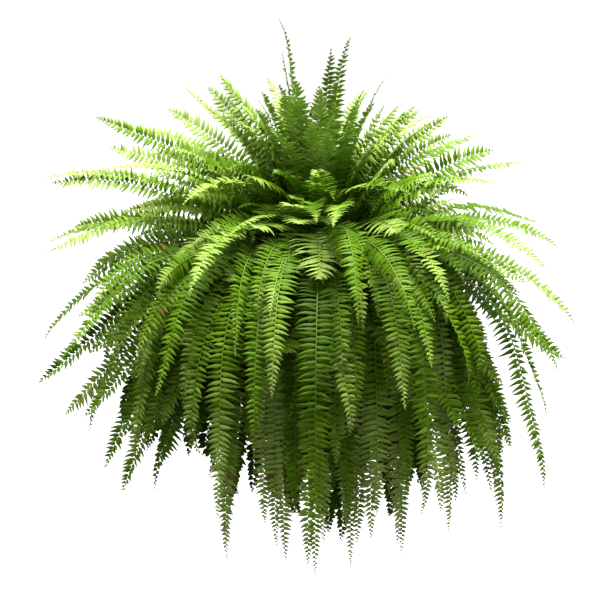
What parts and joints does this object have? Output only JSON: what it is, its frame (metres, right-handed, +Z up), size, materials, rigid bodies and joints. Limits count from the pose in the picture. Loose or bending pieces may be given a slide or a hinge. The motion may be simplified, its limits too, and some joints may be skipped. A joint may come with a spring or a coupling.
{
  "type": "potted fern in hanging pot",
  "caption": "Mature sword fern with arching feather-like fronds that spill over a round hanging pot with a three-armed hanger and a clip-on saucer.",
  "frame": {"origin": "the point inside the hook's crook that bears on the bracket it hangs from", "axes": "+Z up through the pot's axis, -Y towards the front, +X to the right seen from the front"},
  "size_m": [1.0508, 1.0259, 0.9911],
  "materials": {
    "living_frond": "thin living leaf, satin, lighter yellow-green towards the tips",
    "dry_frond": "dry withered leaf, matt brown",
    "runner": "thin wiry stem, tan",
    "rhizome": "scaly brown crown, matt",
    "potting_mix": "damp peat and bark crumbs, matt",
    "pot_plastic": "moulded dark green polypropylene, satin",
    "hanger_plastic": "moulded dark grey polypropylene, satin"
  },
  "bodies": {
    "root": {"drip_saucer": "pot_plastic", "fern_crown": "rhizome", "frond_lower_01": "living_frond", "frond_lower_02": "living_frond", "frond_lower_03": "living_frond", "frond_lower_04": "living_frond", "frond_lower_05": "living_frond", "frond_lower_06": "living_frond", "frond_lower_07": "living_frond", "frond_lower_08": "living_frond", "frond_lower_09": "living_frond", "frond_lower_10": "living_frond", "frond_middle_01": "living_frond", "frond_middle_02": "living_frond", "frond_middle_03": "living_frond", "frond_middle_04": "living_frond", "frond_middle_05": "living_frond", "frond_middle_06": "living_frond", "frond_middle_07": "living_frond", "frond_middle_08": "living_frond", "frond_middle_09": "living_frond", "frond_middle_10": "living_frond", "frond_middle_11": "living_frond", "frond_skirt_01": "living_frond", "frond_skirt_02": "living_frond", "frond_skirt_03": "living_frond", "frond_skirt_04": "living_frond", "frond_skirt_05": "living_frond", "frond_skirt_06": "living_frond", "frond_skirt_07": "living_frond", "frond_skirt_08": "living_frond", "frond_skirt_09": "living_frond", "frond_skirt_10": "living_frond", "frond_skirt_11": "living_frond", "frond_top_01": "living_frond", "frond_top_02": "living_frond", "frond_top_03": "living_frond", "frond_top_04": "living_frond", "frond_top_05": "living_frond", "frond_top_06": "living_frond", "frond_top_07": "living_frond", "frond_upper_01": "living_frond", "frond_upper_02": "living_frond", "frond_upper_03": "living_frond", "frond_upper_04": "living_frond", "frond_upper_05": "living_frond", "frond_upper_06": "living_frond", "frond_upper_07": "living_frond", "frond_upper_08": "living_frond", "frond_upper_09": "living_frond", "frond_upper_10": "living_frond", "hanger_arm_1": "hanger_plastic", "hanger_arm_2": "hanger_plastic", "hanger_arm_3": "hanger_plastic", "hanger_hook": "hanger_plastic", "hanging_pot": "pot_plastic", "old_frond_01": "dry_frond", "potting_mix": "potting_mix", "runner_01": "runner", "runner_02": "runner"}
  },
  "joints": []
}
